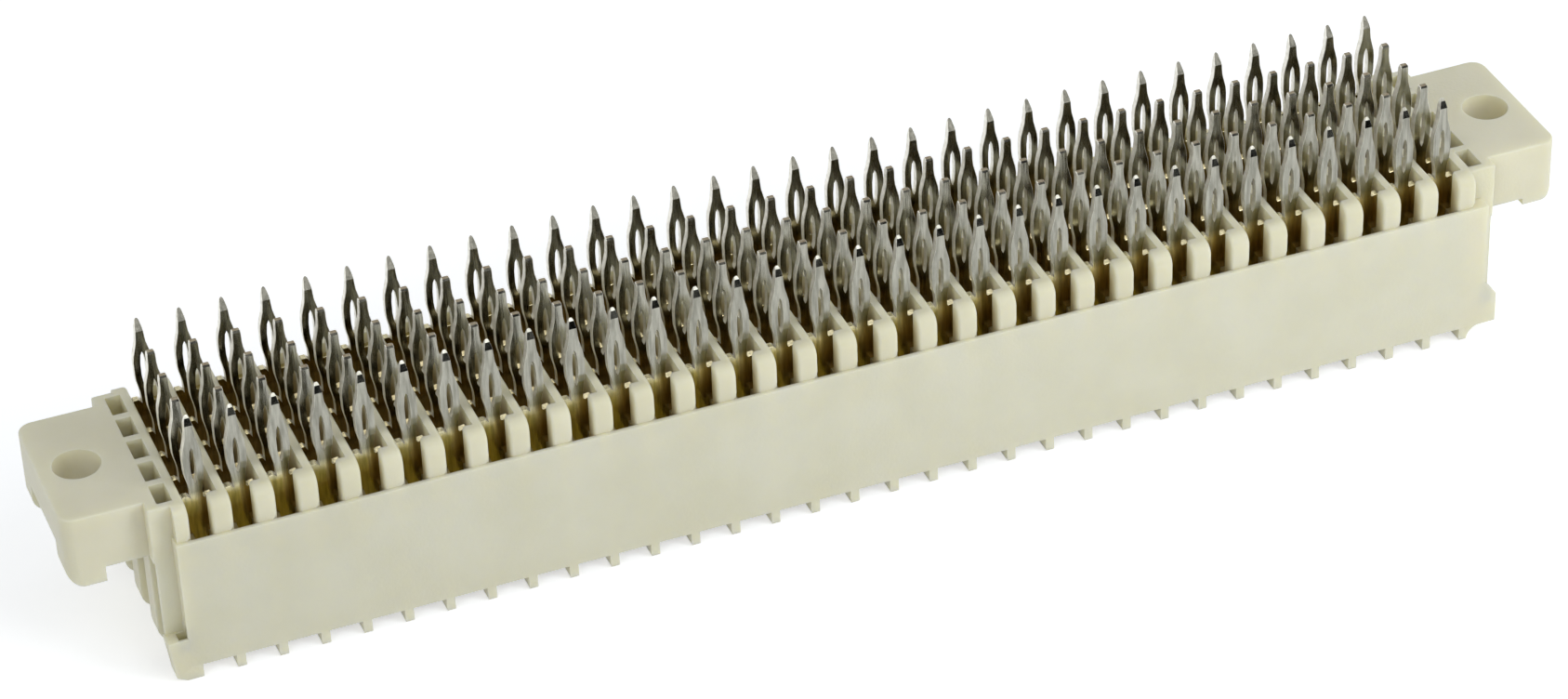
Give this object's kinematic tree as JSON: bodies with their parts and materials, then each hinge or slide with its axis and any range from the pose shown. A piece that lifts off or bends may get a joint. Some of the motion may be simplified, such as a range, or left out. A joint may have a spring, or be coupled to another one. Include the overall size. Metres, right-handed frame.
{
  "type": "connector socket",
  "caption": "Long ivory board connector with rows of press-in contact tails, a comb along its mating side and a screw flange at each end.",
  "frame": {"origin": "middle of the part's outline, on the plane where the comb teeth stand", "axes": "+X along the contact rows, +Y towards the back, +Z from the mating side towards the circuit board"},
  "size_m": [0.0946, 0.014, 0.0167],
  "materials": {
    "ivory_moulding": "fine matt moulding, faintly mottled ivory",
    "bright_tin": "bright tin plate on stamped copper alloy"
  },
  "bodies": {
    "root": {"housing": "ivory_moulding", "front_contact_01": "bright_tin", "front_contact_02": "bright_tin", "front_contact_03": "bright_tin", "front_contact_04": "bright_tin", "front_contact_05": "bright_tin", "front_contact_06": "bright_tin", "front_contact_07": "bright_tin", "front_contact_08": "bright_tin", "front_contact_09": "bright_tin", "front_contact_10": "bright_tin", "front_contact_11": "bright_tin", "front_contact_12": "bright_tin", "front_contact_13": "bright_tin", "front_contact_14": "bright_tin", "front_contact_15": "bright_tin", "front_contact_16": "bright_tin", "front_contact_17": "bright_tin", "front_contact_18": "bright_tin", "front_contact_19": "bright_tin", "front_contact_20": "bright_tin", "front_contact_21": "bright_tin", "front_contact_22": "bright_tin", "front_contact_23": "bright_tin", "front_contact_24": "bright_tin", "front_contact_25": "bright_tin", "front_contact_26": "bright_tin", "front_contact_27": "bright_tin", "front_contact_28": "bright_tin", "front_contact_29": "bright_tin", "front_contact_30": "bright_tin", "front_contact_31": "bright_tin", "front_contact_32": "bright_tin"}
  },
  "joints": []
}
